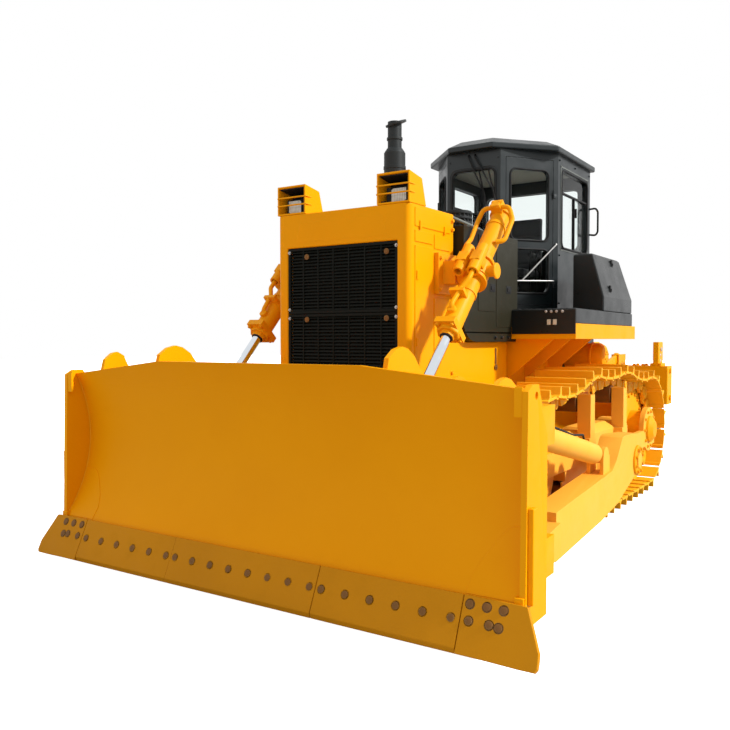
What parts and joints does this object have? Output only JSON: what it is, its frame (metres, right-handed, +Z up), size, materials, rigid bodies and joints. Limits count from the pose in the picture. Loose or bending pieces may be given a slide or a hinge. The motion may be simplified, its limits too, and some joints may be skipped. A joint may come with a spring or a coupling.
{
  "type": "crawler bulldozer with straight-tilt blade and three-shank rear ripper",
  "caption": "Yellow crawler bulldozer: wide straight blade on push arms, twin lift cylinders, hexagonal cab with two doors, tracks and a rear ripper.",
  "frame": {"origin": "on the ground under the middle of the whole machine's length and width", "axes": "+X forward towards the blade, +Y to the machine's left, +Z up"},
  "size_m": [7.9158, 4.18, 3.78],
  "materials": {
    "paint_yellow": "satin",
    "paint_black": "satin",
    "track_steel": "worn satin",
    "engine_iron": "rough",
    "exhaust_metal": "matte",
    "lamp_lens": "gloss",
    "glass": "gloss",
    "chrome_rod": "mirror",
    "seat_vinyl": "matte"
  },
  "bodies": {
    "chassis": {"main_frame": "paint_yellow", "rear_case": "paint_yellow", "engine_block": "engine_iron", "hood": "paint_yellow", "radiator_guard": "paint_yellow", "radiator_core": "paint_black", "grille": "paint_black", "exhaust_stack": "exhaust_metal", "air_precleaner": "paint_black", "lamp_housings": "paint_yellow", "headlamps": "lamp_lens", "lift_yokes": "paint_yellow", "equalizer_bar": "paint_yellow", "track_left": "track_steel", "track_right": "track_steel", "track_frame_left": "paint_yellow", "track_frame_right": "paint_yellow", "sprockets": "track_steel", "final_drives": "paint_yellow", "idlers": "track_steel", "track_rollers": "track_steel", "carrier_rollers": "track_steel", "fenders": "paint_yellow", "step_boxes": "paint_black", "fender_boxes": "paint_black", "cab_base": "paint_black", "cab_shell": "paint_black", "cab_roof": "paint_black", "cab_glass": "glass", "operator_seat": "seat_vinyl", "dash_console": "paint_black", "fuel_tank": "paint_black", "side_tanks": "paint_black", "ripper_bracket": "paint_yellow"},
    "blade": {"moldboard": "paint_yellow", "cutting_edges": "paint_yellow", "push_arms": "paint_yellow", "pitch_brace_right": "paint_yellow", "tilt_cylinder_left": "paint_yellow"},
    "lift_barrels": {"lift_barrels": "paint_yellow"},
    "lift_rods": {"lift_rods": "chrome_rod"},
    "door_left": {"cab_door_left": "paint_black", "door_glass_left": "glass"},
    "door_right": {"cab_door_right": "paint_black", "door_glass_right": "glass"},
    "ripper_arms": {"ripper_arms": "paint_yellow"},
    "ripper_links": {"ripper_links": "paint_yellow"},
    "ripper_beam": {"ripper_beam": "paint_yellow", "ripper_shanks": "paint_yellow"},
    "ripper_barrels": {"ripper_barrels": "paint_yellow"},
    "ripper_rods": {"ripper_rods": "chrome_rod"}
  },
  "joints": [
    {"name": "blade_lift", "type": "hinge", "parent": "chassis", "child": "blade", "pos_m": [0.27095, 0, 0.6], "axis": [0, -1, 0], "range_deg": [-6.5, 19]},
    {"name": "lift_barrel_swing", "type": "hinge", "parent": "chassis", "child": "lift_barrels", "pos_m": [2.16095, 0, 2.241], "axis": [0, -1, 0], "range_deg": [-9.21, 25.96]},
    {"name": "lift_rod_slide", "type": "slide", "parent": "lift_barrels", "child": "lift_rods", "axis": [0.697, 0, -0.7171], "range_m": [-0.8009, 0.2773]},
    {"name": "ripper_lift", "type": "hinge", "parent": "chassis", "child": "ripper_arms", "pos_m": [-2.38905, 0, 0.72], "axis": [0, 1, 0], "range_deg": [-53, 31]},
    {"name": "ripper_link_swing", "type": "hinge", "parent": "chassis", "child": "ripper_links", "pos_m": [-2.38905, 0, 1.23], "axis": [0, 1, 0], "range_deg": [-53.5, 31.5]},
    {"name": "ripper_beam_level", "type": "hinge", "parent": "ripper_arms", "child": "ripper_beam", "pos_m": [-3.51792, 0, 0.93943], "axis": [0, 1, 0], "range_deg": [-31.5, 53.5]},
    {"name": "ripper_barrel_swing", "type": "hinge", "parent": "chassis", "child": "ripper_barrels", "pos_m": [-2.38905, 0, 1.23], "axis": [0, 1, 0], "range_deg": [-45.02, 26.54]},
    {"name": "ripper_rod_slide", "type": "slide", "parent": "ripper_barrels", "child": "ripper_rods", "axis": [-0.9684, 0, -0.2493], "range_m": [-0.2485, 0.4213]},
    {"name": "door_left_swing", "type": "hinge", "parent": "chassis", "child": "door_left", "pos_m": [-0.17441, 0.67326, 2], "axis": [0, 0, 1], "range_deg": [0, 68]},
    {"name": "door_right_swing", "type": "hinge", "parent": "chassis", "child": "door_right", "pos_m": [-0.17441, -0.67326, 2], "axis": [0, 0, -1], "range_deg": [0, 68]}
  ],
  "couplings": [
    {"joint": "lift_barrel_swing", "follows": "blade_lift", "ratio": 1.34},
    {"joint": "lift_rod_slide", "follows": "blade_lift", "m_per_rad": -2.4},
    {"joint": "ripper_link_swing", "follows": "ripper_lift", "ratio": 1},
    {"joint": "ripper_beam_level", "follows": "ripper_lift", "ratio": -1},
    {"joint": "ripper_barrel_swing", "follows": "ripper_lift", "ratio": 0.84},
    {"joint": "ripper_rod_slide", "follows": "ripper_lift", "m_per_rad": -0.45}
  ]
}
